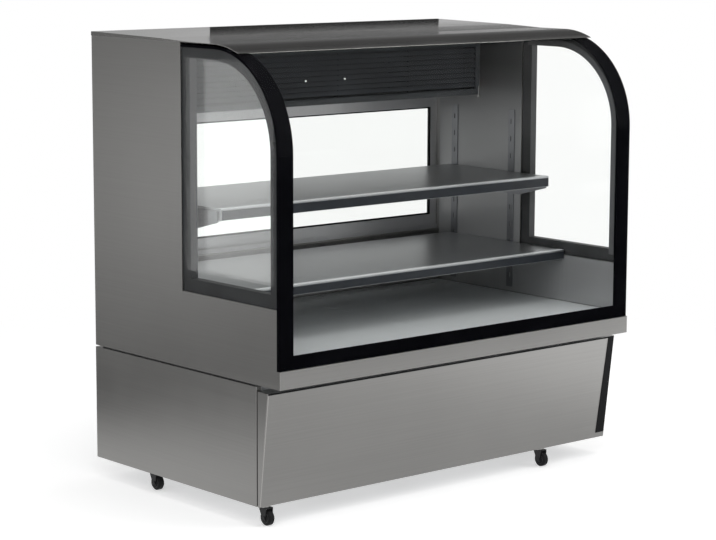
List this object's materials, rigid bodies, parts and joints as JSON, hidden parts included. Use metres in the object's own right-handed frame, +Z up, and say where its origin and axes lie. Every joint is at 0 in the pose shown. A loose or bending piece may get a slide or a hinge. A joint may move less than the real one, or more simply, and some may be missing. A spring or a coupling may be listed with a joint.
{
  "type": "refrigerated pastry display case",
  "caption": "Refrigerated pastry display case with a bent front glass, side windows, steel shelves and rear sliding doors, on a steel base with casters.",
  "frame": {"origin": "on the floor, under the centre of the case's width and depth", "axes": "+X along the width, the front glass faces -Y, +Z up"},
  "size_m": [1.25, 0.8, 1.214],
  "materials": {
    "steel_body": "satin, horizontal grain",
    "steel_inner": "satin",
    "galvanised": "dull zinc",
    "glass_clear": "clear, polished edges",
    "black_border": "gloss black",
    "lamp_lens": "milky",
    "aluminium_frame": "anodised",
    "hood_paint": "satin",
    "fins": "bare fins",
    "black_plastic": "matte black",
    "black_paint": "semi-gloss black",
    "copper": "copper, slightly dull",
    "drip_plastic": "satin grey",
    "zinc": "zinc plated",
    "tread": "matte black"
  },
  "bodies": {
    "cabinet": {"side_wall_left": "steel_body", "side_wall_right": "steel_body", "front_fascia": "steel_body", "rear_sill_panel": "steel_body", "rear_header": "steel_body", "canopy_top": "steel_body", "base_side_left": "steel_body", "base_side_right": "steel_body", "base_front_cover": "steel_body", "insulated_tub": "steel_inner", "deck_panels": "steel_inner", "upper_shelf": "steel_inner", "lower_shelf": "steel_inner", "shelf_arms": "steel_inner", "shelf_strips": "steel_inner", "ceiling_panel": "steel_inner", "base_frame": "galvanised", "base_rear_grille": "galvanised", "condenser_shroud": "galvanised", "front_glass": "glass_clear", "side_glass_left": "glass_clear", "side_glass_right": "glass_clear", "front_glass_border": "black_border", "side_border_left": "black_border", "side_border_right": "black_border", "lamp_diffuser": "lamp_lens", "door_tracks": "aluminium_frame", "lamp_housing": "aluminium_frame", "evap_hood": "hood_paint", "evap_grille": "hood_paint", "evap_coil": "fins", "condenser_coil": "fins", "control_panel": "black_plastic", "electrical_box": "black_plastic", "cable_gland": "black_plastic", "compressor": "black_paint", "condenser_fan_motor": "black_paint", "evap_fan_motors": "black_paint", "filter_drier": "black_paint", "refrigerant_pipes": "copper", "condensate_tray": "drip_plastic", "panel_screws": "zinc", "caster_plates": "zinc"},
    "door_left": {"door_left_frame": "aluminium_frame", "door_left_glass": "glass_clear"},
    "door_right": {"door_right_frame": "aluminium_frame", "door_right_glass": "glass_clear"},
    "condenser_fan": {"condenser_fan": "black_plastic"},
    "evap_fan_left": {"evap_fan_left": "black_plastic"},
    "evap_fan_right": {"evap_fan_right": "black_plastic"},
    "light_switch": {"light_switch": "black_plastic"},
    "power_switch": {"power_switch": "black_plastic"},
    "caster_swivel_fl": {"caster_fork_fl": "zinc"},
    "caster_wheel_fl": {"caster_wheel_fl": "tread"},
    "caster_swivel_fr": {"caster_fork_fr": "zinc"},
    "caster_wheel_fr": {"caster_wheel_fr": "tread"},
    "caster_swivel_rl": {"caster_fork_rl": "zinc"},
    "caster_wheel_rl": {"caster_wheel_rl": "tread"},
    "caster_swivel_rr": {"caster_fork_rr": "zinc"},
    "caster_wheel_rr": {"caster_wheel_rr": "tread"}
  },
  "joints": [
    {"name": "door_left_slide", "type": "slide", "parent": "cabinet", "child": "door_left", "axis": [1, 0, 0], "range_m": [0, 0.54]},
    {"name": "door_right_slide", "type": "slide", "parent": "cabinet", "child": "door_right", "axis": [-1, 0, 0], "range_m": [0, 0.54]},
    {"name": "condenser_fan_spin", "type": "hinge", "parent": "cabinet", "child": "condenser_fan", "pos_m": [-0.25, 0.227, 0.176], "axis": [0, 1, 0], "continuous": true},
    {"name": "evap_fan_left_spin", "type": "hinge", "parent": "cabinet", "child": "evap_fan_left", "pos_m": [-0.281, 0.16, 1.0875], "axis": [0, 1, 0], "continuous": true},
    {"name": "evap_fan_right_spin", "type": "hinge", "parent": "cabinet", "child": "evap_fan_right", "pos_m": [0.247, 0.16, 1.0875], "axis": [0, 1, 0], "continuous": true},
    {"name": "light_switch_rock", "type": "hinge", "parent": "cabinet", "child": "light_switch", "pos_m": [-0.408, 0.3905, 1.084], "axis": [1, 0, 0], "range_deg": [0, 16]},
    {"name": "power_switch_rock", "type": "hinge", "parent": "cabinet", "child": "power_switch", "pos_m": [-0.378, 0.3905, 1.084], "axis": [1, 0, 0], "range_deg": [0, 16]},
    {"name": "caster_swivel_fl_turn", "type": "hinge", "parent": "cabinet", "child": "caster_swivel_fl", "pos_m": [-0.588, -0.29, 0.0465], "axis": [0, 0, 1], "continuous": true},
    {"name": "caster_wheel_fl_roll", "type": "hinge", "parent": "caster_swivel_fl", "child": "caster_wheel_fl", "pos_m": [-0.588, -0.303, 0.02], "axis": [1, 0, 0], "continuous": true},
    {"name": "caster_swivel_fr_turn", "type": "hinge", "parent": "cabinet", "child": "caster_swivel_fr", "pos_m": [0.39, -0.29, 0.0465], "axis": [0, 0, 1], "continuous": true},
    {"name": "caster_wheel_fr_roll", "type": "hinge", "parent": "caster_swivel_fr", "child": "caster_wheel_fr", "pos_m": [0.39, -0.303, 0.02], "axis": [1, 0, 0], "continuous": true},
    {"name": "caster_swivel_rl_turn", "type": "hinge", "parent": "cabinet", "child": "caster_swivel_rl", "pos_m": [-0.588, 0.182, 0.0465], "axis": [0, 0, 1], "continuous": true},
    {"name": "caster_wheel_rl_roll", "type": "hinge", "parent": "caster_swivel_rl", "child": "caster_wheel_rl", "pos_m": [-0.588, 0.169, 0.02], "axis": [1, 0, 0], "continuous": true},
    {"name": "caster_swivel_rr_turn", "type": "hinge", "parent": "cabinet", "child": "caster_swivel_rr", "pos_m": [0.39, 0.182, 0.0465], "axis": [0, 0, 1], "continuous": true},
    {"name": "caster_wheel_rr_roll", "type": "hinge", "parent": "caster_swivel_rr", "child": "caster_wheel_rr", "pos_m": [0.39, 0.169, 0.02], "axis": [1, 0, 0], "continuous": true}
  ]
}
